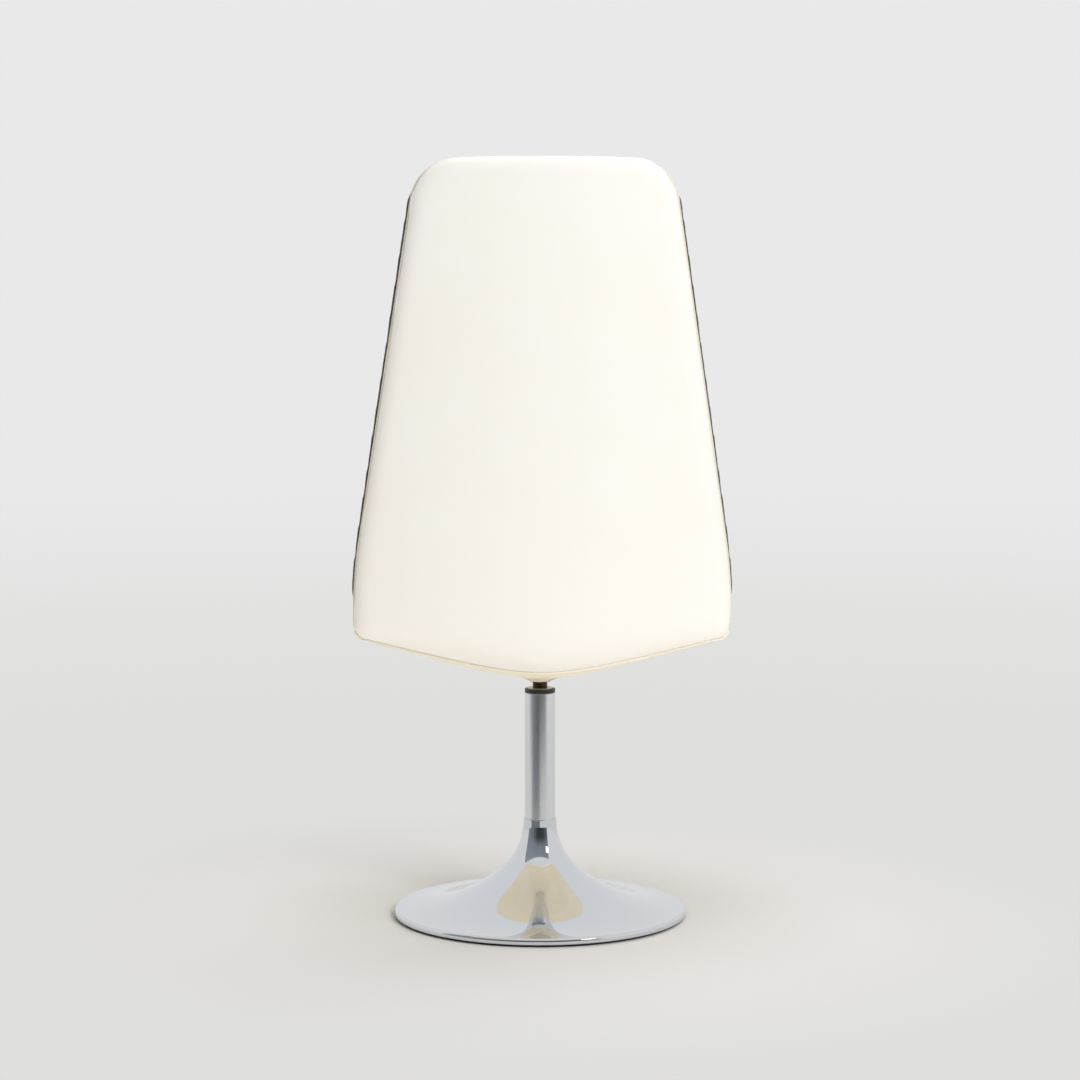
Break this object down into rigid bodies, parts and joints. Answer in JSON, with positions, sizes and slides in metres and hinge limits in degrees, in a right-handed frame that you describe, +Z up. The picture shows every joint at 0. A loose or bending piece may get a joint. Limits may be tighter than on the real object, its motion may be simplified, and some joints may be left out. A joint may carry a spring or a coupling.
{
  "type": "high-back swivel chair",
  "caption": "High-back swivel chair: cupped vinyl-backed bucket with dark padding, on a steel tube and a flared chrome trumpet base.",
  "frame": {"origin": "on the floor, under the swivel axis, at the centre of the floor pad", "axes": "+Z up along the swivel axis, -Y towards the front edge of the seat, +X to the sitter's left as the sitter looks along -Y"},
  "size_m": [0.4868, 0.5774, 0.986],
  "materials": {
    "polished_chrome": "mirror plated",
    "satin_chrome": "brushed along the tube",
    "plain_steel": "plain",
    "zinc_steel": "zinc plated",
    "brown_steel": "dark, oiled",
    "brass_insert": "plain",
    "dark_rubber": "matt",
    "black_nylon": "satin",
    "beech": "sawn",
    "moulded_shell": "raw",
    "cream_vinyl": "smooth coated cloth",
    "charcoal_cloth": "flat weave",
    "foam": "open cell"
  },
  "bodies": {
    "base": {"floor_pad": "dark_rubber", "base_plate": "plain_steel", "trumpet": "polished_chrome", "column_tube": "satin_chrome", "column_plug": "plain_steel", "tie_screw": "plain_steel", "lower_bush": "black_nylon", "upper_bush": "black_nylon", "thrust_ball": "plain_steel", "top_washer": "zinc_steel"},
    "seat": {"spindle": "brown_steel", "retaining_ring": "plain_steel", "spindle_hub": "brown_steel", "seat_plate": "plain_steel", "plate_screws": "zinc_steel", "screw_washers": "zinc_steel", "threaded_inserts": "brass_insert", "mounting_block": "beech", "shell": "moulded_shell", "back_cover": "cream_vinyl", "underside_cover": "cream_vinyl", "seam_welt": "cream_vinyl", "edge_welt": "cream_vinyl", "back_foam": "foam", "back_inner_cover": "charcoal_cloth", "seat_foam": "foam", "seat_inner_cover": "charcoal_cloth"}
  },
  "joints": [
    {"name": "swivel", "type": "hinge", "parent": "base", "child": "seat", "pos_m": [0, 0, 0.295], "axis": [0, 0, 1], "continuous": true}
  ]
}
